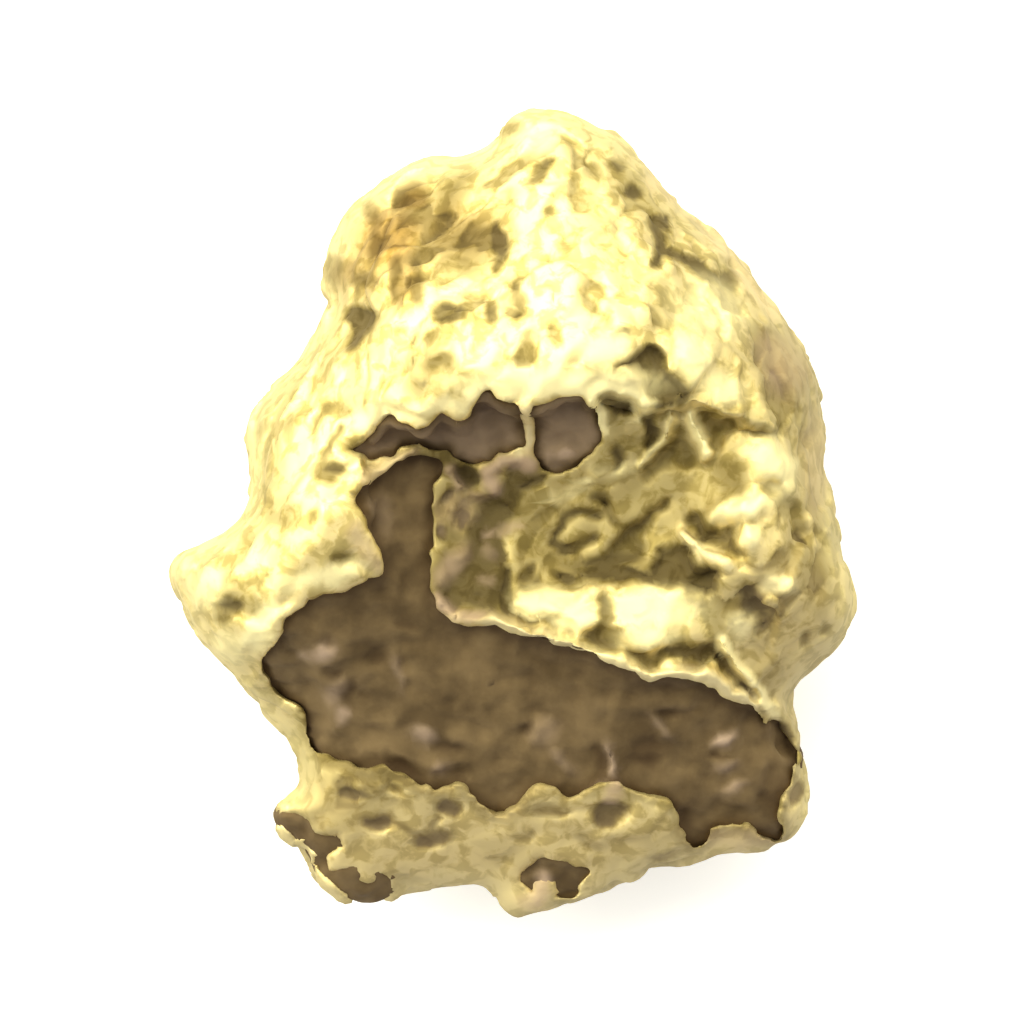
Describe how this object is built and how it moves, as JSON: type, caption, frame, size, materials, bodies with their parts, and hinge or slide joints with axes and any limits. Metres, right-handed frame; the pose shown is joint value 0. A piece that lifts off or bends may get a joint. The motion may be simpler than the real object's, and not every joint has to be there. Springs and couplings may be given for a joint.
{
  "type": "gold nugget",
  "caption": "Natural gold nugget with a lobed, pitted skin, a sheltered hollow in its front and brown ironstone grown into it.",
  "frame": {"origin": "on the surface that the nugget lies on, under the middle of its box", "axes": "+Y from the foot to the crown, +Z out of the front that carries the ironstone, +X to the right when looking down on that front"},
  "size_m": [0.0168, 0.02, 0.0104],
  "materials": {
    "gold": "natural pale gold, softly burnished on its lobes and matt in its pits",
    "ironstone": "dull brown earthy ironstone with tan specks"
  },
  "bodies": {
    "root": {"gold_nugget": "gold", "ironstone_matrix": "ironstone", "ironstone_ridge": "ironstone", "ironstone_plug": "ironstone"}
  },
  "joints": []
}
